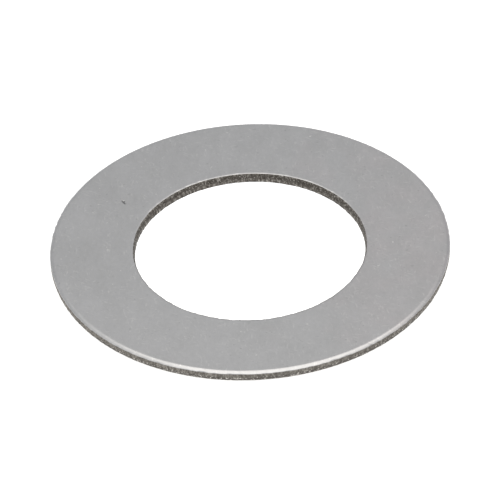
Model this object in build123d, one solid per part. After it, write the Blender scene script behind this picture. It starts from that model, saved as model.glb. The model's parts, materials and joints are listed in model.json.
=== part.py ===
from build123d import *
import os

# Thrust washer: one flat steel ring, pierced and blanked from strip, hardened and tumbled.
# All sizes are in millimetres.
# The origin is the centre of the bore at the lower face, and +Z leaves the upper face.
# Both punches came from below, so the rim is rolled at the upper face and the bore at the lower.
# Each cut edge has, from its rolled face to its torn face:
# - a roll, where the face was drawn in before the metal parted
# - a round corner, where tumbling wore the line between the roll and the wall
# - a straight band, which the cutting edge left
# - a tear, which leans into the metal
# - a worn corner, where tumbling took off the burr

# Ring
outer_diameter = 34.8
bore_diameter = 20.04
thickness = 1.0

# Rim
rim_roll_width = 0.40
rim_roll_depth = 0.15
rim_band_height = 0.35
rim_tear_lean = 0.11
rim_worn_width = 0.25
rim_worn_height = 0.15

# Bore
bore_roll_width = 0.40
bore_roll_depth = 0.18
bore_band_height = 0.30
bore_tear_lean = 0.10
bore_worn_width = 0.22
bore_worn_height = 0.03

# Radius worn between each roll and its wall, and the largest share of the roll's depth it may take
roll_corner_radius = 0.09
corner_share = 0.8

rim_radius = outer_diameter / 2
bore_radius = bore_diameter / 2


def cut_edge(wall_radius, into_metal, rolled_face, torn_face, roll, band_height, tear_lean, worn):
    """Line of one cut edge in the section, from the rolled face to the torn face.

    into_metal is +1 where the metal lies outside the wall, as at the bore, and -1 at the rim.
    roll and worn each hold a width and a height.
    """
    onward = 1 if torn_face > rolled_face else -1
    band_start = rolled_face + onward * roll[1]
    band_end = band_start + onward * band_height
    worn_start = torn_face - onward * worn[1]
    torn_radius = wall_radius + into_metal * tear_lean
    roll_start = (wall_radius + into_metal * roll[0], rolled_face)
    worn_end = (torn_radius + into_metal * worn[0], torn_face)
    outward = (-into_metal, 0)
    roll_arc = TangentArc(roll_start, (wall_radius, band_start), tangent=outward)
    band = Line((wall_radius, band_start), (wall_radius, band_end))
    tear = Line((wall_radius, band_end), (torn_radius, worn_start))
    worn_arc = TangentArc(worn_end, (torn_radius, worn_start), tangent=outward)
    return [roll_arc, band, tear, worn_arc]


def round_roll_corner(section, band, roll_depth):
    """Rounds the corner between a roll and the start of its straight band."""
    corner = section.vertices().sort_by_distance(band @ 0)[0]
    return fillet(corner, min(roll_corner_radius, corner_share * roll_depth))


def ring_section():
    """Half section of the ring, with the radius along X and the height along Y."""
    rim_roll = (rim_roll_width, rim_roll_depth)
    rim_worn = (rim_worn_width, rim_worn_height)
    bore_roll = (bore_roll_width, bore_roll_depth)
    bore_worn = (bore_worn_width, bore_worn_height)
    rim_edge = cut_edge(rim_radius, -1, thickness, 0, rim_roll, rim_band_height, rim_tear_lean, rim_worn)
    bore_edge = cut_edge(bore_radius, 1, 0, thickness, bore_roll, bore_band_height, bore_tear_lean, bore_worn)
    upper_face = Line(bore_edge[3] @ 0, rim_edge[0] @ 0)
    lower_face = Line(bore_edge[0] @ 0, rim_edge[3] @ 0)
    section = make_face([*bore_edge, *rim_edge, upper_face, lower_face])
    section = round_roll_corner(section, rim_edge[1], rim_roll_depth)
    return round_roll_corner(section, bore_edge[1], bore_roll_depth)


thrust_washer = revolve(Plane.XZ * ring_section(), Axis.Z)

os.makedirs("parts", exist_ok=True)
export_step(thrust_washer, "parts/thrust_washer.step")
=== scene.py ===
import json
import math
import random
from collections import namedtuple
from types import SimpleNamespace

import bpy
from bpy.props import FloatProperty, FloatVectorProperty, IntProperty, PointerProperty
from mathutils import Matrix, Vector, noise
from mathutils.geometry import delaunay_2d_cdt


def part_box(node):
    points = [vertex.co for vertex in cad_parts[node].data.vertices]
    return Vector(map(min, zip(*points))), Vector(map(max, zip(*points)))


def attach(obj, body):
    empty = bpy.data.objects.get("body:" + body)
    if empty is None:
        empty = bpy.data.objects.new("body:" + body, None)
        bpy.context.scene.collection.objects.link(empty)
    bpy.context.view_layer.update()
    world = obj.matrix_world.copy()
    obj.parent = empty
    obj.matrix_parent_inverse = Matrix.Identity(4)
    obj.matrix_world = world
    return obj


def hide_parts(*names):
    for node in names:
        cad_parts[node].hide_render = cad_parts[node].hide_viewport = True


# Thrust washer: the steel ring with its cut edges, worn face and nick, on a plain pale table.
# Lengths are in metres. The origin is the centre of the bore at the lower face, and +Z leaves
# the upper face. Azimuth is measured from +X towards +Y, and the camera stands on the -Y side.

bl_info = {
    "name": "Thrust Washer",
    "version": (1, 0, 0),
    "blender": (4, 5, 0),
    "location": "View3D > Sidebar > Washer",
    "description": "Builds a blanked steel thrust washer and a plain studio round it",
    "category": "Add Mesh",
}

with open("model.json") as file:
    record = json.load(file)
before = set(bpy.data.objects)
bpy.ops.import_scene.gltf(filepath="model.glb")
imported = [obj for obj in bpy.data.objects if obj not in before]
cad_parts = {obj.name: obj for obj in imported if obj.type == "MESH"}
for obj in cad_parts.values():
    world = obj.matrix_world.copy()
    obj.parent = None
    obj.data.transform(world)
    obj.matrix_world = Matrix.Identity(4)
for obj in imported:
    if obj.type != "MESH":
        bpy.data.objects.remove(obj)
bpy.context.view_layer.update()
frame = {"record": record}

NODE = "thrust_washer"
BODY = "root"
MM = 0.001

# A loop of a cut edge: how far in from the wall and how far from the rolled face it lies, the slope of
# the surface there, and its share of the cut wall's relief
Station = namedtuple("Station", "inset drop slope cut")

# A dent in the upper face: its middle, direction and size, and how far its colour darkens with its depth
Mark = namedtuple("Mark", "x y turn length width depth residue")

# Noise in a finish: features in a millimetre, levels of detail, and how much the finer levels count
Pattern = namedtuple("Pattern", "scale detail rough")

# An effect that grows from none, where a value is at the start, to its most, where it is full
Spread = namedtuple("Spread", "start full most")

# Noise in a finish, together with the effect that grows with it
Layer = namedtuple("Layer", Pattern._fields + Spread._fields)

# Sizes that the frame gives
ring_low, ring_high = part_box(NODE)
mounts = {mount["name"]: mount for mount in frame["record"]["mounts"]}
rim_wall_radius = mounts["rim"]["dims"]["r_mm"] * MM
bore_wall_radius = mounts["bore"]["dims"]["r_mm"] * MM
ring_thickness = ring_high.z - ring_low.z

# Vertices round each cut edge, and steps along the stretches of its section
RIM_SEGMENTS = 1560
BORE_SEGMENTS = 936
ROLL_STEPS = 7
ROUND_STEPS = 6
BAND_STEPS = 4
TEAR_STEPS = 6
WORN_STEPS = 6

# How close the loops lie to the corner at the end of the tear, which keeps it crisp
CRISP_GAP = 0.012 * MM

# Width of the first row of faces in from each edge, which keeps the shading of the flat faces even
SUPPORT_GAP = 0.02 * MM

# Plain rings of vertices in the flat faces: share of the way from the bore to the rim, and vertices
FACE_RINGS = ((0.12, 540), (0.35, 270), (0.65, 270), (0.88, 720))

# Vertices of the nick: their spacing, and how far they reach past its ends and how broad they lie, in
# widths of the nick
NICK_SPACING = 0.025 * MM
NICK_MARGIN = 1
NICK_BREADTH = 5

# Vertices of a ding: cells of their grid each way, and how far the grid reaches past the ding
DING_CELLS = 6
DING_REACH = 1.15

# Places in a flat face that lie closer than this, in millimetres, count as one
SAME_PLACE = 1e-7

# Cut walls: size of the torn grain, of the straight band's streaks, and of the slow waves that the
# tear and the line below a roll wander with
GRAIN_ACROSS = 0.09 * MM
GRAIN_UP = 0.14 * MM
STREAK_ACROSS = 0.13 * MM
STREAK_UP = 1.1 * MM
WANDER_ACROSS = 0.40 * MM
WANDER_UP = 2.0 * MM

# Contrast of that noise, the share of half-sized grain in the torn grain, and how much a streak
# counts as a pit
GRAIN_CONTRAST = 1.4
FINE_GRAIN = 0.3
STREAK_PIT = 0.35

# Line between the straight band and the tear: height and length of its waves, and how wide it fades
TEAR_LINE_WAVE = 0.06 * MM
TEAR_LINE_PITCH = 0.8 * MM
TEAR_LINE_FADE = 0.17 * MM

# Line below a roll: the share of the relief that it starts with, and how far down the wall it wanders
LIP_CUT = 0.4
LIP_FADE = 0.10 * MM

# How far from the worn corner the tear is rubbed, and how much of its torn look is gone at the corner
RUB_REACH = 0.16 * MM
RUB_SHARE = 0.75

# Lobe and tail of the nick: places and sizes in widths of the nick, and depths as shares of its own
NICK_LOBE = Mark(x=0.35, y=0.60, turn=0.0, length=1.2, width=1.0, depth=0.75, residue=1.0)
NICK_TAIL = Mark(x=1.15, y=-0.45, turn=0.0, length=1.6, width=0.8, depth=0.2, residue=0.4)

# How quickly the nick's colour darkens with its depth
DARKENING_GAIN = 2.5

# Least size of a ding, as a share of the greatest: its length and depth, and its width
LEAST_DING = 0.3
LEAST_DING_WIDTH = 0.5

# Tumbled face: the squeeze of the place along Y that makes its drifts and mottle run along Y, then its
# clouds, drifts, mottle, dark spots and light flecks
DRAWN = 0.55
CLOUDS = Layer(scale=0.17, detail=2.0, rough=0.6, start=0.35, full=0.65, most=0.35)
DRIFTS = Layer(scale=0.65, detail=3.0, rough=0.6, start=0.35, full=0.65, most=0.42)
MOTTLE = Layer(scale=3.1, detail=3.0, rough=0.7, start=0.30, full=0.70, most=0.50)
SPOTS = Layer(scale=3.4, detail=1.0, rough=0.5, start=0.30, full=0.20, most=0.60)
FLECKS = Layer(scale=2.7, detail=1.0, rough=0.5, start=0.74, full=0.80, most=0.55)

# How the clouds, drifts and mottle stain the face, how light its scratches are, and how dark the
# painted shade is in the torn pits that reach over onto a polished corner
STAINED = Spread(start=0.0, full=1.2, most=0.50)
SCRATCHED = Spread(start=0.0, full=1.0, most=0.30)
PIT_SHADE_ON_POLISH = Spread(start=0.30, full=0.60, most=0.85)

# How much the face's roughness changes either way, and its fine relief with the scratches' grooves
ROUGHNESS_CHANGE = 0.02
FACE_GRAIN = Pattern(scale=3.0, detail=3.0, rough=0.6)
GROOVED = Spread(start=0.0, full=1.0, most=-0.6)
FACE_BUMP = 0.0012 * MM

# Scratches: their directions in radians from +X, features in a millimetre across them, the share of
# that along them, and where the crests and the patches of their noise set in
SCRATCH_TURNS = (1.5, 1.8, -0.6, 0.05)
SCRATCH_SCALE = 4.5
SCRATCH_STRETCH = 0.3
SCRATCH_CRESTS = Layer(scale=1.0, detail=1.0, rough=0.5, start=0.62, full=0.74, most=1.0)
SCRATCH_PATCHES = Layer(scale=0.23, detail=1.0, rough=0.5, start=0.45, full=0.60, most=1.0)

# How far the noise of the first scratches is shifted, how much further that of each next direction,
# and the share of the shift that goes along Y
FIRST_SHIFT = 3.1
NEXT_SHIFT = 7.7
SHIFT_ALONG_Y = 0.37

# Where along X the face's warm tint sets in and is full, in millimetres, and how far its edge wanders
TINT_START = 5.0
TINT_FULL = 17.0
TINT_WANDER = 14.0
TINT_WAVES = Pattern(scale=0.30, detail=3.0, rough=0.5)

# Cut walls: fine grit, and streaks that change slowly up the wall
FINE_GRIT = Pattern(scale=7.5, detail=2.0, rough=0.6)
STREAKS = Pattern(scale=6.0, detail=2.0, rough=0.6)
STREAK_STRETCH = 0.4

# Shares of the fine grit and the streaks in the whole grit, and of the pits, which get painted shade, and
# that grit in a tear
GRIT_SHARES = (0.5, 0.5)
TEAR_SHARES = (0.4, 0.8)

# How much dark tone the straight bands take on with the grit, and how much painted glint, the
# ridges' light colour, with the streaks
STREAK_DARK = {
    "rim": Spread(start=0.45, full=0.56, most=0.60),
    "bore": Spread(start=0.45, full=0.56, most=0.95),
}
STREAK_SHINE = {
    "rim": Spread(start=0.46, full=0.34, most=0.12),
    "bore": Spread(start=0.46, full=0.34, most=0.40),
}

# Torn stretches: how painted shade darkens their pits, with the dark tone of the grit, and their light
# specks, which are painted glints
PIT_SHADE_AND_GRIT = Spread(start=0.50, full=0.70, most=1.0)
GLINT_SPECKS = {
    "rim": Layer(scale=6.5, detail=1.0, rough=0.5, start=0.56, full=0.68, most=1.0),
    "bore": Layer(scale=6.5, detail=1.0, rough=0.5, start=0.56, full=0.68, most=0.35),
}

# Dark patches over the whole of a cut wall, how strongly the wall mirrors, and its fine relief
PATCHES = Layer(scale=0.8, detail=2.0, rough=0.5, start=0.50, full=0.75, most=0.25)
WALL_MIRROR = 0.8
WALL_BUMP = 0.016 * MM

# Slopes at which the polish gives way to the dull finish of the cut wall
ROLL_SHINE_END = math.radians(64.0)
WORN_SHINE_END = math.radians(14.0)

# Places of the finishes in the ring's list of materials
FACE_FINISH = 0
WALL_FINISH = {"rim": 1, "bore": 2}

# Sockets of a node that mixes colours: its factor, its two colours and its result
MIX_INPUTS = (0, 6, 7)
MIX_RESULT = 2

# Photograph: its frame, how large a metre is at the washer, and where the origin shows
IMAGE_SIZE = 500
PIXELS_PER_METRE = 11499.0
ORIGIN_PIXEL = (250.33, 255.19)

# How many times nearer and farther than the washer the camera still sees
CLIP_RATIO = 10

# How far the softbox's core hangs below it, so that neither lamp hides the other
CORE_GAP = 0.01

# How far the table lies below the ring, so that the two faces are never in one place
TABLE_GAP = 0.02 * MM
TABLE_ROUGHNESS = 0.8
TABLE_GLOW_COLOUR = (1.0, 1.0, 1.0, 1.0)


def length(name, description, default):
    """A size in metres, which the sidebar shows in the scene's unit of length."""
    return FloatProperty(name=name, description=description, default=default, min=0.0, precision=5,
                         subtype="DISTANCE", unit="LENGTH")


def share(name, description, default):
    """A share from 0 to 1."""
    return FloatProperty(name=name, description=description, default=default, min=0.0, max=1.0,
                         subtype="FACTOR")


def angle(name, description, degrees):
    """An angle, given in degrees and kept in radians."""
    return FloatProperty(name=name, description=description, default=math.radians(degrees),
                         subtype="ANGLE", unit="ROTATION")


def colour(name, description, default):
    """A linear colour without alpha."""
    return FloatVectorProperty(name=name, description=description, default=default, min=0.0,
                               max=1.0, size=3, subtype="COLOR")


def power(name, description, default):
    """The power of a lamp."""
    return FloatProperty(name=name, description=description, default=default, min=0.0, precision=3,
                         unit="POWER")


class RingSizes(bpy.types.PropertyGroup):
    """Sizes of the ring and of its two cut edges."""

    thickness: length("Thickness", "Distance between the two faces", ring_thickness)
    rim_radius: length("Rim radius", "Radius of the rim's straight band", rim_wall_radius)
    rim_roll_width: length("Rim roll width", "How far the roll reaches over the upper face", 0.40 * MM)
    rim_roll_depth: length("Rim roll depth", "How far the roll drops", 0.15 * MM)
    rim_band_height: length("Rim band", "Height of the rim's straight band", 0.35 * MM)
    rim_tear_lean: length("Rim tear lean", "How far the torn stretch leans in", 0.11 * MM)
    rim_worn_width: length("Rim worn width", "Width worn off the torn stretch's corner", 0.25 * MM)
    rim_worn_height: length("Rim worn height", "Height worn off the torn stretch's corner", 0.15 * MM)
    bore_radius: length("Bore radius", "Radius of the bore's straight band", bore_wall_radius)
    bore_roll_width: length("Bore roll width", "How far the roll reaches over the lower face", 0.40 * MM)
    bore_roll_depth: length("Bore roll depth", "How far the roll rises", 0.18 * MM)
    bore_band_height: length("Bore band", "Height of the bore's straight band", 0.30 * MM)
    bore_tear_lean: length("Bore tear lean", "How far the torn stretch opens out", 0.115 * MM)
    bore_worn_width: length("Bore worn width", "Width worn off the torn stretch's corner", 0.205 * MM)
    bore_worn_height: length("Bore worn height", "Height worn off the torn stretch's corner", 0.03 * MM)
    roll_corner_radius: length("Roll corner", "Radius worn between a roll and its wall", 0.09 * MM)
    band_relief: length("Band relief", "Depth of the streaks on the straight bands", 0.004 * MM)
    tear_relief: length("Tear relief", "Depth of the torn pits below their ridges", 0.035 * MM)
    lip_wander: length("Lip wander", "How far the line below the rolls wanders in all", 0.12 * MM)
    tear_wander: length("Tear wander", "How far the torn stretches wander in and out", 0.045 * MM)


class RingWear(bpy.types.PropertyGroup):
    """The nick in the upper face and the small dings round it."""

    nick_azimuth: angle("Nick azimuth", "Where the nick lies round the ring", 147.23)
    nick_radius: length("Nick radius", "Distance of the nick from the axis", 12.902 * MM)
    nick_turn: angle("Nick turn", "Direction that the nick runs in, from +X", -62.0)
    nick_length: length("Nick length", "Length of the nick", 0.80 * MM)
    nick_width: length("Nick width", "Width of the nick", 0.20 * MM)
    nick_depth: length("Nick depth", "Depth of the nick", 0.028 * MM)
    ding_count: IntProperty(name="Dings", description="Number of small dings", default=70, min=0)
    ding_length: length("Ding length", "Greatest length of a ding", 0.34 * MM)
    ding_width: length("Ding width", "Greatest width of a ding", 0.12 * MM)
    ding_depth: length("Ding depth", "Greatest depth of a ding", 0.006 * MM)
    seed: IntProperty(name="Seed", description="Changes where the dings lie", default=7)


class RingFinish(bpy.types.PropertyGroup):
    """Colours and gloss of the steel, with the painted shade and painted glints of its cut walls."""

    face_colour: colour("Face", "Tumbled face of the ring", (0.643, 0.648, 0.662))
    fleck_colour: colour("Flecks", "Fine scratches and flecks that stand out light", (0.88, 0.875, 0.87))
    stain_colour: colour("Stains", "Grey clouds and spots in the face", (0.42, 0.428, 0.435))
    tint_colour: colour("Tint", "Faint warm tint on one side of the face", (0.664, 0.643, 0.657))
    rim_band_colour: colour("Rim band", "Straight band of the rim", (0.215, 0.202, 0.184))
    rim_tear_colour: colour("Rim tear", "Torn stretch of the rim", (0.098, 0.092, 0.084))
    bore_band_colour: colour("Bore band", "Straight band of the bore", (0.178, 0.166, 0.152))
    bore_tear_colour: colour("Bore tear", "Torn stretch of the bore", (0.099, 0.091, 0.082))
    # Painted glints of the cut walls: the light colour of their specks and streaks
    ridge_colour: colour("Torn ridges", "Bright specks of the cut walls", (0.72, 0.695, 0.655))
    # Painted shade of the pits, which is also the dark tone of the grit and of the dark patches
    pit_colour: colour("Pits", "Low spots of the cut walls", (0.045, 0.040, 0.034))
    # Colour that the nick darkens to with its depth
    residue_colour: colour("Residue", "Dark residue in the nick", (0.235, 0.24, 0.245))
    face_roughness: share("Face roughness", "Roughness of the tumbled face", 0.30)
    wall_roughness: share("Wall roughness", "Roughness of the cut walls", 0.60)
    wall_sheen: share("Wall sheen", "How much the cut walls shine as bare metal does", 0.30)


class Studio(bpy.types.PropertyGroup):
    """Table, light and camera."""

    table_size: length("Table size", "Length of the table's sides", 4.0)
    table_colour: colour("Table", "Colour of the table", (0.9, 0.9, 0.9))
    table_glow: share("Table glow", "Light that the table gives off itself", 0.75)
    room_colour: colour("Room", "Colour of the light that comes from all round", (0.53, 0.53, 0.53))
    softbox_height: length("Softbox height", "Height of the softbox above the table", 0.30)
    softbox_width: length("Softbox width", "Length of the softbox from left to right", 0.80)
    core_width: length("Core width", "Length of the softbox's bright core from left to right", 0.29)
    softbox_shift: length("Softbox shift", "How far the softbox hangs to the right", 0.015)
    softbox_front: length("Softbox front", "How far the softbox reaches towards the camera", 0.29)
    softbox_back: length("Softbox back", "How far the softbox reaches behind the washer", 0.235)
    softbox_colour: colour("Softbox", "Colour of the softbox", (1.0, 0.95, 0.88))
    softbox_power: power("Softbox power", "Power of the whole softbox but for its core", 0.40)
    core_power: power("Core power", "Power of the softbox's bright core", 0.275)
    camera_elevation: angle("Camera elevation", "Height of the camera above the horizon", 38.73)
    camera_roll: angle("Camera roll", "Turn of the camera about its line of sight", 2.77)
    camera_distance: length("Camera distance", "Distance from the camera to the washer", 1.044)


def edge_sizes(sizes, side):
    """The sizes of one cut edge, where side is rim or bore. The rim's roll is at the upper face."""
    names = ("radius", "roll_width", "roll_depth", "band_height", "tear_lean", "worn_width", "worn_height")
    edge = SimpleNamespace(**{name: getattr(sizes, f"{side}_{name}") for name in names})
    edge.outward = 1 if side == "rim" else -1
    edge.rolled_up = side == "rim"
    edge.segments = RIM_SEGMENTS if side == "rim" else BORE_SEGMENTS
    edge.corner_radius = sizes.roll_corner_radius
    edge.thickness = sizes.thickness
    edge.band_end = edge.roll_depth + edge.band_height
    return edge


def arc_radius(width, height):
    """Radius of an arc that leaves a flat face without a break and covers a width and a height."""
    return (width ** 2 + height ** 2) / (2 * height)


def arc_stations(centre, radius, slopes, cuts):
    """Stations on an arc that turns away from the rolled face, with their shares of the relief."""
    return [Station(centre[0] - radius * math.sin(slope), centre[1] - radius * math.cos(slope), slope, cut)
            for slope, cut in zip(slopes, cuts)]


def steps_between(first, last, count):
    """Evenly spaced values from the first to the last."""
    return [first + (last - first) * step / count for step in range(count + 1)]


def roll_stations(edge):
    """The roll, and the round worn between it and the straight band."""
    radius = arc_radius(edge.roll_width, edge.roll_depth)
    reach = radius - edge.corner_radius
    end = math.asin((edge.roll_width - edge.corner_radius) / reach)
    stations = arc_stations((edge.roll_width, radius), radius, steps_between(0.0, end, ROLL_STEPS),
                            [0.0] * ROLL_STEPS + [LIP_CUT])
    corner = (edge.corner_radius, radius - reach * math.cos(end))
    slopes = steps_between(end, math.pi / 2, ROUND_STEPS)[1:]
    return stations + arc_stations(corner, edge.corner_radius, slopes,
                                   steps_between(LIP_CUT, 1.0, ROUND_STEPS)[1:])


def wall_stations(edge, band_start):
    """The straight band, the leaning tear and its worn corner, up to the torn face."""
    stations = [Station(0.0, drop, math.pi / 2, 1.0)
                for drop in steps_between(band_start, edge.band_end, BAND_STEPS)[1:]]
    tear_height = edge.thickness - edge.worn_height - edge.band_end
    slope = math.pi / 2 + math.atan2(edge.tear_lean, tear_height)
    crisp = 1.0 - CRISP_GAP / tear_height
    for way in steps_between(0.0, 1.0, TEAR_STEPS)[1:-1] + [crisp]:
        stations.append(Station(edge.tear_lean * way, edge.band_end + tear_height * way, slope, 1.0))
    radius = arc_radius(edge.worn_width, edge.worn_height)
    start = 2 * math.atan2(edge.worn_height, edge.worn_width)
    crisp = start * (1.0 - CRISP_GAP / edge.worn_width)
    for turn in [start] + steps_between(crisp, 0.0, WORN_STEPS):
        inset = edge.tear_lean + edge.worn_width - radius * math.sin(turn)
        drop = edge.thickness - radius * (1 - math.cos(turn))
        stations.append(Station(inset, drop, math.pi - turn, turn / start))
    return stations


def shines(station):
    """Whether a station lies on a polished part of its edge."""
    return station.slope < ROLL_SHINE_END or math.pi - station.slope < WORN_SHINE_END


def smooth_step(value, low, high):
    """0 below low and 1 above high, with an even curve between them."""
    way = min(1.0, max(0.0, (value - low) / (high - low)))
    return way * way * (3 - 2 * way)


def grain(point, across, up):
    """Noise from 0 to 1 at a point, with grains of the given size across and up the wall."""
    place = Vector((point.x / across, point.y / across, point.z / up))
    return 0.5 + 0.5 * max(-1.0, min(1.0, GRAIN_CONTRAST * noise.noise(place)))


def wall_relief(point, station, edge, sizes):
    """Depth of the cut wall below its plain surface, how torn it is, and how deep in a pit."""
    wave = TEAR_LINE_WAVE * noise.noise(Vector((point.x, point.y, 0.0)) / TEAR_LINE_PITCH)
    tear_line = edge.band_end + wave
    torn = smooth_step(station.drop, tear_line - TEAR_LINE_FADE, tear_line + TEAR_LINE_FADE)
    streak = grain(point, STREAK_ACROSS, STREAK_UP)
    pit = (1 - FINE_GRAIN) * grain(point, GRAIN_ACROSS, GRAIN_UP)
    pit += FINE_GRAIN * grain(point, GRAIN_ACROSS / 2, GRAIN_UP / 2)
    wander = grain(point, WANDER_ACROSS, WANDER_UP)
    rough = sizes.tear_relief * (pit - 0.5) + sizes.tear_wander * (wander - 0.5)
    lip = 1.0 - smooth_step(station.drop, edge.roll_depth, edge.roll_depth + LIP_FADE)
    depth = sizes.band_relief * streak * (1 - torn) + rough * torn + sizes.lip_wander * (wander - 0.5) * lip
    worn_start = edge.thickness - edge.worn_height
    torn *= 1.0 - RUB_SHARE * smooth_step(station.drop, worn_start - RUB_REACH, worn_start)
    return max(depth, -station.inset), torn, pit * torn + STREAK_PIT * streak * (1 - torn)


class RingMesh:
    """Vertices, faces and surface values of the ring while it is laid down."""

    def __init__(self):
        self.points = []
        self.torn = []
        self.pit = []
        self.residue = []
        self.faces = []
        self.finishes = []

    def add_point(self, point, torn=0.0, pit=0.0, residue=0.0):
        """Adds a vertex and returns its number."""
        self.points.append(point)
        self.torn.append(torn)
        self.pit.append(pit)
        self.residue.append(residue)
        return len(self.points) - 1

    def add_loop(self, station, edge, sizes):
        """Adds a closed loop of vertices at one station of a cut edge."""
        loop = []
        height = edge.thickness - station.drop if edge.rolled_up else station.drop
        for number in range(edge.segments):
            azimuth = 2 * math.pi * number / edge.segments
            around = Vector((math.cos(azimuth), math.sin(azimuth), 0.0))
            point = around * (edge.radius - edge.outward * station.inset)
            point.z = height
            depth, torn, pit = (0.0, 0.0, 0.0)
            if station.cut > 0:
                depth, torn, pit = wall_relief(point, station, edge, sizes)
                depth, torn, pit = (value * station.cut for value in (depth, torn, pit))
                point -= around * edge.outward * depth
                # Past the straight band the bore's wall faces up a little, so its pits go down as well
                if station.slope > math.pi / 2 and not edge.rolled_up:
                    point.z += max(0.0, depth) * math.cos(station.slope)
            loop.append(self.add_point(point, torn, pit))
        return loop

    def add_row(self, upper, lower, outward, finish):
        """Joins two loops by a row of four-sided faces that face out of the metal."""
        count = len(upper)
        for number in range(count):
            after = (number + 1) % count
            face = (upper[number], lower[number], lower[after], upper[after])
            self.faces.append(face if outward > 0 else face[::-1])
            self.finishes.append(finish)

    def add_face(self, outer, inner, extra, up):
        """Fills the flat stretch between two loops, through the extra vertices inside it."""
        numbers = outer + inner + extra
        flat = [Vector((self.points[number].x, self.points[number].y)) / MM for number in numbers]
        edges = []
        first = 0
        for ring in (outer, inner):
            count = len(ring)
            edges += [(first + place, first + (place + 1) % count) for place in range(count)]
            first += count
        hole = min(flat[place].length for place in range(len(outer), len(outer) + len(inner)))
        places, _, triangles, sources, _, _ = delaunay_2d_cdt(flat, edges, [], 0, SAME_PLACE)
        for triangle in triangles:
            middle = sum((places[corner] for corner in triangle), Vector((0.0, 0.0))) / 3
            if middle.length < hole:
                continue
            start, left, right = (places[corner] for corner in triangle)
            corners = [numbers[sources[corner][0]] for corner in triangle]
            turning_left = (left - start).cross(right - start) > 0
            self.faces.append(tuple(corners if turning_left == up else corners[::-1]))
            self.finishes.append(FACE_FINISH)


def nick_marks(wear):
    """The nick: a gouge, a lobe at its side and a faint tail."""
    x = wear.nick_radius * math.cos(wear.nick_azimuth)
    y = wear.nick_radius * math.sin(wear.nick_azimuth)
    width = wear.nick_width
    marks = [Mark(x, y, wear.nick_turn, wear.nick_length, width, wear.nick_depth, 1.0)]
    for part in (NICK_LOBE, NICK_TAIL):
        marks.append(Mark(x + part.x * width, y + part.y * width, wear.nick_turn + part.turn,
                          part.length * width, part.width * width, part.depth * wear.nick_depth,
                          part.residue))
    return marks


def ding_marks(sizes, wear):
    """Small shallow dings strewn over the upper face, kept off both of its edges."""
    draw = random.Random(wear.seed)
    margin = wear.ding_length
    low = sizes.bore_radius + sizes.bore_tear_lean + sizes.bore_worn_width + margin
    high = sizes.rim_radius - sizes.rim_roll_width - margin
    marks = []
    for _ in range(wear.ding_count):
        radius = math.sqrt(draw.uniform(low ** 2, high ** 2))
        azimuth = draw.uniform(0, 2 * math.pi)
        marks.append(Mark(radius * math.cos(azimuth), radius * math.sin(azimuth),
                          draw.uniform(0, math.pi), wear.ding_length * draw.uniform(LEAST_DING, 1.0),
                          wear.ding_width * draw.uniform(LEAST_DING_WIDTH, 1.0),
                          wear.ding_depth * draw.uniform(LEAST_DING, 1.0), 0.0))
    return marks


def in_mark(mark, x, y):
    """A point in a mark's own axes: half lengths along it and half widths across it."""
    dx, dy = x - mark.x, y - mark.y
    along = dx * math.cos(mark.turn) + dy * math.sin(mark.turn)
    across = dy * math.cos(mark.turn) - dx * math.sin(mark.turn)
    return 2 * along / mark.length, 2 * across / mark.width


def mark_depth(mark, x, y):
    """Depth of a mark at a point: a smooth bowl with a rounded lip."""
    along, across = in_mark(mark, x, y)
    distance = along * along + across * across
    return mark.depth * (1 - distance) ** 2 * (1 + 2 * distance) if distance < 1 else 0.0


def mark_grid(mark, cells_along, cells_across, reach):
    """Points of a grid laid over a mark in its own axes."""
    cos, sin = math.cos(mark.turn), math.sin(mark.turn)
    for row in range(cells_along + 1):
        along = mark.length / 2 * reach * (2 * row / cells_along - 1)
        for column in range(cells_across + 1):
            across = mark.width / 2 * reach * (2 * column / cells_across - 1)
            yield mark.x + along * cos - across * sin, mark.y + along * sin + across * cos


def marked_points(mesh, sizes, wear):
    """Adds the vertices of the nick and the dings to the upper face and returns their numbers."""
    nick = nick_marks(wear)
    dings = ding_marks(sizes, wear)
    reach_along = wear.nick_length + 2 * NICK_MARGIN * wear.nick_width
    reach_across = NICK_BREADTH * wear.nick_width
    plot = Mark(nick[0].x, nick[0].y, wear.nick_turn, reach_along, reach_across, 0.0, 0.0)
    cells = [round(reach / NICK_SPACING) for reach in (reach_along, reach_across)]
    spots = list(mark_grid(plot, *cells, 1.0))
    for ding in dings:
        if math.hypot(ding.x - plot.x, ding.y - plot.y) > reach_along:
            spots += mark_grid(ding, DING_CELLS, DING_CELLS, DING_REACH)
    marks = nick + dings
    numbers = []
    for x, y in spots:
        depths = [mark_depth(mark, x, y) for mark in marks]
        depth = max(depths)
        residue = max(own * mark.residue for own, mark in zip(depths, marks)) / wear.nick_depth
        point = Vector((x, y, sizes.thickness - depth))
        numbers.append(mesh.add_point(point, residue=min(1.0, DARKENING_GAIN * residue)))
    return numbers


def ring_loops(mesh, sizes):
    """Adds plain rings of vertices that keep each flat face's triangles even, the upper face's first."""
    low = sizes.bore_radius + max(sizes.bore_roll_width, sizes.bore_tear_lean + sizes.bore_worn_width)
    high = sizes.rim_radius - sizes.rim_roll_width
    for height in (sizes.thickness, 0.0):
        numbers = []
        for way, count in FACE_RINGS:
            radius = low + (high - low) * way
            for number in range(count):
                azimuth = 2 * math.pi * (number + 0.5) / count
                numbers.append(mesh.add_point(
                    Vector((radius * math.cos(azimuth), radius * math.sin(azimuth), height))))
        yield numbers


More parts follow.
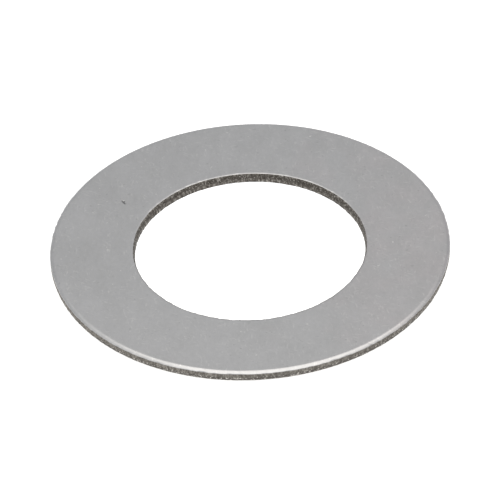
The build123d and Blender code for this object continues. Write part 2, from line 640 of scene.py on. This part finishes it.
def cut_edge(mesh, side, sizes):
    """Lays down one cut edge and returns its loops in the upper and the lower face."""
    edge = edge_sizes(sizes, side)
    stations = roll_stations(edge)
    stations += wall_stations(edge, stations[-1].drop)
    first, last = stations[0], stations[-1]
    stations.insert(0, first._replace(inset=first.inset + SUPPORT_GAP))
    stations.append(last._replace(inset=last.inset + SUPPORT_GAP))
    if not edge.rolled_up:
        stations.reverse()
    loops = [mesh.add_loop(station, edge, sizes) for station in stations]
    for number in range(len(loops) - 1):
        polished = shines(stations[number]) and shines(stations[number + 1])
        mesh.add_row(loops[number], loops[number + 1], edge.outward,
                     FACE_FINISH if polished else WALL_FINISH[side])
    return loops[0], loops[-1]


def mesh_object(mesh, name, materials):
    """Makes the Blender object from what was laid down."""
    data = bpy.data.meshes.new(name)
    data.from_pydata(mesh.points, [], mesh.faces)
    data.polygons.foreach_set("material_index", mesh.finishes)
    data.polygons.foreach_set("use_smooth", [True] * len(mesh.faces))
    for attribute in ("torn", "pit", "residue"):
        layer = data.attributes.new(attribute, "FLOAT", "POINT")
        layer.data.foreach_set("value", getattr(mesh, attribute))
    data.validate()
    data.update()
    for material in materials:
        data.materials.append(material)
    made = bpy.data.objects.new(name, data)
    bpy.context.scene.collection.objects.link(made)
    return made


def add(tree, kind, inputs=None, **settings):
    """Adds a node. An input that is given a socket is linked to it, and any other is set."""
    made = tree.nodes.new(kind)
    for name, value in settings.items():
        setattr(made, name, value)
    for name, value in (inputs or {}).items():
        if isinstance(value, bpy.types.NodeSocket):
            tree.links.new(value, made.inputs[name])
        else:
            made.inputs[name].default_value = value
    return made


def new_material(name):
    """A new material, its nodes and its principled shader."""
    material = bpy.data.materials.new(name)
    material.use_nodes = True
    tree = material.node_tree
    return material, tree, tree.nodes["Principled BSDF"]


def place_value(tree):
    """The place on the piece, in millimetres."""
    place = add(tree, "ShaderNodeTexCoord").outputs["Object"]
    scaled = add(tree, "ShaderNodeVectorMath", {0: place, "Scale": 1 / MM}, operation="SCALE")
    return scaled.outputs["Vector"]


def squeezed_place(tree, place, squeeze):
    """The place scaled along each axis, so that noise there is drawn out along the squeezed one."""
    return add(tree, "ShaderNodeMapping", {"Vector": place, "Scale": squeeze}).outputs["Vector"]


def noise_value(tree, place, pattern):
    """Noise from 0 to 1."""
    made = add(tree, "ShaderNodeTexNoise", {"Vector": place, "Scale": pattern.scale,
                                            "Detail": pattern.detail, "Roughness": pattern.rough})
    return made.outputs["Fac"]


def band_value(tree, value, low, high, out_low=0.0, out_high=1.0):
    """A value spread from one range to another and held within it."""
    made = add(tree, "ShaderNodeMapRange", {"Value": value, "From Min": low, "From Max": high,
                                            "To Min": out_low, "To Max": out_high})
    return made.outputs["Result"]


def spread_value(tree, value, spread):
    """How far an effect has grown at a value."""
    return band_value(tree, value, spread.start, spread.full, 0.0, spread.most)


def layer_value(tree, place, layer):
    """How far the effect of a layer of noise has grown."""
    return spread_value(tree, noise_value(tree, place, layer), layer)


def math_value(tree, operation, first, second):
    """Two values joined by one operation."""
    return add(tree, "ShaderNodeMath", {0: first, 1: second}, operation=operation).outputs["Value"]


def shared_value(tree, first, second, shares):
    """Two values added up, each with its own share."""
    return math_value(tree, "ADD", math_value(tree, "MULTIPLY", first, shares[0]),
                      math_value(tree, "MULTIPLY", second, shares[1]))


def mixed_colour(tree, factor, first, second):
    """One colour turning into another as the factor grows."""
    made = tree.nodes.new("ShaderNodeMix")
    made.data_type = "RGBA"
    for number, value in zip(MIX_INPUTS, (factor, first, second)):
        if isinstance(value, bpy.types.NodeSocket):
            tree.links.new(value, made.inputs[number])
        else:
            made.inputs[number].default_value = (*value, 1.0)
    return made.outputs[MIX_RESULT]


def surface_value(tree, name):
    """A value that the mesh carries at its vertices."""
    return add(tree, "ShaderNodeAttribute", attribute_name=name).outputs["Fac"]


def add_relief(tree, shader, height, depth):
    """Gives a surface a fine relief, where depth is how far a height of 1 stands out."""
    bump = add(tree, "ShaderNodeBump", {"Height": height, "Strength": 1.0, "Distance": depth})
    tree.links.new(bump.outputs["Normal"], shader.inputs["Normal"])


def scratch_value(tree, place, turn, shift):
    """Short fine scratches in one direction: thin crests of stretched noise, broken by patches."""
    turned = add(tree, "ShaderNodeMapping", {
        "Vector": place, "Location": (shift, shift * SHIFT_ALONG_Y, 0.0), "Rotation": (0.0, 0.0, turn),
        "Scale": (1 / (SCRATCH_STRETCH * SCRATCH_SCALE), 1 / SCRATCH_SCALE, 1.0)}, vector_type="TEXTURE")
    stretched = turned.outputs["Vector"]
    return math_value(tree, "MULTIPLY", layer_value(tree, stretched, SCRATCH_CRESTS),
                      layer_value(tree, stretched, SCRATCH_PATCHES))


def scratches_value(tree, place):
    """The scratches of all directions together."""
    layers = [scratch_value(tree, place, turn, FIRST_SHIFT + NEXT_SHIFT * number)
              for number, turn in enumerate(SCRATCH_TURNS)]
    together = layers[0]
    for layer in layers[1:]:
        together = math_value(tree, "MAXIMUM", together, layer)
    return together


def tint_value(tree, place):
    """How far the face's warm tint has set in: it grows along X, from a wandering edge."""
    across = add(tree, "ShaderNodeSeparateXYZ", {"Vector": place}).outputs["X"]
    wander = band_value(tree, noise_value(tree, place, TINT_WAVES), 0.0, 1.0, -TINT_WANDER, TINT_WANDER)
    return band_value(tree, math_value(tree, "ADD", across, wander), TINT_START, TINT_FULL)


def face_material(finish):
    """Tumbled steel: satin and clouded, with short scratches, light flecks and dark specks."""
    material, tree, shader = new_material("tumbled_steel")
    place = place_value(tree)
    drawn = squeezed_place(tree, place, (1.0, DRAWN, 1.0))
    shade = math_value(tree, "ADD", layer_value(tree, place, CLOUDS), layer_value(tree, drawn, DRIFTS))
    shade = math_value(tree, "ADD", shade, layer_value(tree, drawn, MOTTLE))
    scratches = scratches_value(tree, place)
    base = mixed_colour(tree, tint_value(tree, place), finish.face_colour, finish.tint_colour)
    base = mixed_colour(tree, spread_value(tree, shade, STAINED), base, finish.stain_colour)
    base = mixed_colour(tree, layer_value(tree, place, SPOTS), base, finish.stain_colour)
    base = mixed_colour(tree, spread_value(tree, scratches, SCRATCHED), base, finish.fleck_colour)
    base = mixed_colour(tree, layer_value(tree, place, FLECKS), base, finish.fleck_colour)
    # Painted shade in the torn pits that reach over onto a polished corner
    pit_shade_on_polish_mask = math_value(tree, "MULTIPLY", surface_value(tree, "torn"), surface_value(tree, "pit"))
    base = mixed_colour(tree, spread_value(tree, pit_shade_on_polish_mask, PIT_SHADE_ON_POLISH), base, finish.pit_colour)
    # The nick's colour darkens with its depth
    base = mixed_colour(tree, surface_value(tree, "residue"), base, finish.residue_colour)
    tree.links.new(base, shader.inputs["Base Color"])
    rough = band_value(tree, shade, 0.0, 1.0, finish.face_roughness - ROUGHNESS_CHANGE,
                       finish.face_roughness + ROUGHNESS_CHANGE)
    tree.links.new(rough, shader.inputs["Roughness"])
    shader.inputs["Metallic"].default_value = 1.0
    height = math_value(tree, "ADD", noise_value(tree, place, FACE_GRAIN),
                        spread_value(tree, scratches, GROOVED))
    add_relief(tree, shader, height, FACE_BUMP)
    return material


def wall_material(side, finish):
    """Cut steel: a streaked straight band with painted glints on its streaks, and a torn stretch with
    painted shade in its pits and painted glints for its light specks.
    """
    material, tree, shader = new_material(f"{side}_steel")
    place = place_value(tree)
    band_colour = getattr(finish, f"{side}_band_colour")
    tear_colour = getattr(finish, f"{side}_tear_colour")
    fine = noise_value(tree, place, FINE_GRIT)
    streaks = noise_value(tree, squeezed_place(tree, place, (1.0, 1.0, STREAK_STRETCH)), STREAKS)
    grit = shared_value(tree, fine, streaks, GRIT_SHARES)
    band = mixed_colour(tree, spread_value(tree, grit, STREAK_DARK[side]), band_colour, finish.pit_colour)
    # Painted glints along the straight band's streaks
    band = mixed_colour(tree, spread_value(tree, streaks, STREAK_SHINE[side]), band, finish.ridge_colour)
    # Painted shade in the pits of the torn stretch, mixed with the dark tone of the grit
    pit_shade_and_grit_mask = shared_value(tree, surface_value(tree, "pit"), grit, TEAR_SHARES)
    tear = mixed_colour(tree, spread_value(tree, pit_shade_and_grit_mask, PIT_SHADE_AND_GRIT), tear_colour, finish.pit_colour)
    # Painted glints: light specks on the torn stretch
    tear = mixed_colour(tree, layer_value(tree, place, GLINT_SPECKS[side]), tear, finish.ridge_colour)
    base = mixed_colour(tree, surface_value(tree, "torn"), band, tear)
    base = mixed_colour(tree, layer_value(tree, place, PATCHES), base, finish.pit_colour)
    tree.links.new(base, shader.inputs["Base Color"])
    shader.inputs["Roughness"].default_value = finish.wall_roughness
    shader.inputs["Metallic"].default_value = finish.wall_sheen
    shader.inputs["Specular IOR Level"].default_value = WALL_MIRROR
    shader.inputs["Specular Tint"].default_value = (*band_colour, 1.0)
    add_relief(tree, shader, fine, WALL_BUMP)
    return material


class MakeRing(bpy.types.Operator):
    """Build the washer: one steel ring with cut edges, a worn upper face and a nick"""

    bl_idname = "thrust_washer.make_ring"
    bl_label = "Washer Ring"

    def execute(self, context):
        scene = context.scene
        sizes = scene.ring_sizes
        mesh = RingMesh()
        rim_top, rim_bottom = cut_edge(mesh, "rim", sizes)
        bore_top, bore_bottom = cut_edge(mesh, "bore", sizes)
        top_rings, bottom_rings = ring_loops(mesh, sizes)
        top_rings += marked_points(mesh, sizes, scene.ring_wear)
        mesh.add_face(rim_top, bore_top, top_rings, True)
        mesh.add_face(rim_bottom, bore_bottom, bottom_rings, False)
        finish = scene.ring_finish
        ring = mesh_object(mesh, "washer_ring", [
            face_material(finish), wall_material("rim", finish), wall_material("bore", finish)])
        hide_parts(NODE)
        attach(ring, BODY)
        return {"FINISHED"}


def make_table(studio):
    """The pale table top, which glows a little so that the ring casts only a faint shadow."""
    half = studio.table_size / 2
    data = bpy.data.meshes.new("table")
    data.from_pydata([(-half, -half, 0), (half, -half, 0), (half, half, 0), (-half, half, 0)], [],
                     [(0, 1, 2, 3)])
    material, _, shader = new_material("pale_table")
    shader.inputs["Base Color"].default_value = (*studio.table_colour, 1.0)
    shader.inputs["Roughness"].default_value = TABLE_ROUGHNESS
    shader.inputs["Emission Color"].default_value = TABLE_GLOW_COLOUR
    shader.inputs["Emission Strength"].default_value = studio.table_glow
    data.materials.append(material)
    table = bpy.data.objects.new("table", data)
    table.location.z = -TABLE_GAP
    bpy.context.scene.collection.objects.link(table)


def make_lamp(name, studio, width, height, watts):
    """One oval lamp of the softbox, which faces down."""
    lamp = bpy.data.lights.new(name, "AREA")
    lamp.shape = "ELLIPSE"
    lamp.color = studio.softbox_colour
    lamp.size = width
    lamp.size_y = studio.softbox_front + studio.softbox_back
    lamp.energy = watts
    placed = bpy.data.objects.new(name, lamp)
    placed.location = (studio.softbox_shift, (studio.softbox_back - studio.softbox_front) / 2, height)
    placed.visible_camera = False
    bpy.context.scene.collection.objects.link(placed)


def make_light(studio):
    """One large softbox overhead with a brighter core, and an even light from all round."""
    height = studio.softbox_height
    make_lamp("softbox", studio, studio.softbox_width, height, studio.softbox_power)
    make_lamp("softbox_core", studio, studio.core_width, height - CORE_GAP, studio.core_power)
    world = bpy.data.worlds.new("room")
    world.use_nodes = True
    world.node_tree.nodes["Background"].inputs["Color"].default_value = (*studio.room_colour, 1.0)
    bpy.context.scene.world = world


def make_camera(studio):
    """The camera, at the photograph's angle and framing. Its lens follows from its distance."""
    elevation, roll, distance = studio.camera_elevation, studio.camera_roll, studio.camera_distance
    back = Vector((0.0, -math.cos(elevation), math.sin(elevation)))
    level = Vector((1.0, 0.0, 0.0))
    raised = back.cross(level)
    right = level * math.cos(roll) - raised * math.sin(roll)
    up = level * math.sin(roll) + raised * math.cos(roll)
    data = bpy.data.cameras.new("camera")
    data.lens = data.sensor_width * PIXELS_PER_METRE * distance / IMAGE_SIZE
    data.clip_start = distance / CLIP_RATIO
    data.clip_end = distance * CLIP_RATIO
    camera = bpy.data.objects.new("camera", data)
    aside = (IMAGE_SIZE / 2 - ORIGIN_PIXEL[0]) / PIXELS_PER_METRE
    above = (ORIGIN_PIXEL[1] - IMAGE_SIZE / 2) / PIXELS_PER_METRE
    turned = Matrix((right, up, back)).transposed().to_4x4()
    camera.matrix_world = Matrix.Translation(back * distance + right * aside + up * above) @ turned
    bpy.context.scene.collection.objects.link(camera)
    bpy.context.scene.camera = camera


class MakeStudio(bpy.types.Operator):
    """Build the pale table, the soft light and the camera"""

    bl_idname = "thrust_washer.make_studio"
    bl_label = "Studio"

    def execute(self, context):
        studio = context.scene.studio
        make_table(studio)
        make_light(studio)
        make_camera(studio)
        context.scene.view_settings.view_transform = "Standard"
        return {"FINISHED"}


class WasherPanel(bpy.types.Panel):
    """Lists the pieces and the sizes, finishes and lights that they are made from."""

    bl_idname = "VIEW3D_PT_thrust_washer"
    bl_label = "Thrust Washer"
    bl_space_type = "VIEW_3D"
    bl_region_type = "UI"
    bl_category = "Washer"

    def draw(self, context):
        scene = context.scene
        for operator, groups in (
            (MakeRing, (scene.ring_sizes, scene.ring_wear, scene.ring_finish)),
            (MakeStudio, (scene.studio,)),
        ):
            box = self.layout.box()
            box.operator(operator.bl_idname)
            for group in groups:
                for name in group.__annotations__:
                    box.prop(group, name)


CLASSES = (RingSizes, RingWear, RingFinish, Studio, MakeRing, MakeStudio, WasherPanel)


def register():
    """Registers the classes and hangs the property groups on the scene."""
    for cls in CLASSES:
        bpy.utils.register_class(cls)
    bpy.types.Scene.ring_sizes = PointerProperty(type=RingSizes)
    bpy.types.Scene.ring_wear = PointerProperty(type=RingWear)
    bpy.types.Scene.ring_finish = PointerProperty(type=RingFinish)
    bpy.types.Scene.studio = PointerProperty(type=Studio)


def unregister():
    """Undoes what register did, in the opposite order."""
    del bpy.types.Scene.studio
    del bpy.types.Scene.ring_finish
    del bpy.types.Scene.ring_wear
    del bpy.types.Scene.ring_sizes
    for cls in reversed(CLASSES):
        bpy.utils.unregister_class(cls)


def main():
    """Registers the classes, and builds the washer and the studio."""
    register()
    bpy.ops.thrust_washer.make_ring()
    bpy.ops.thrust_washer.make_studio()


if __name__ == "__main__":
    main()
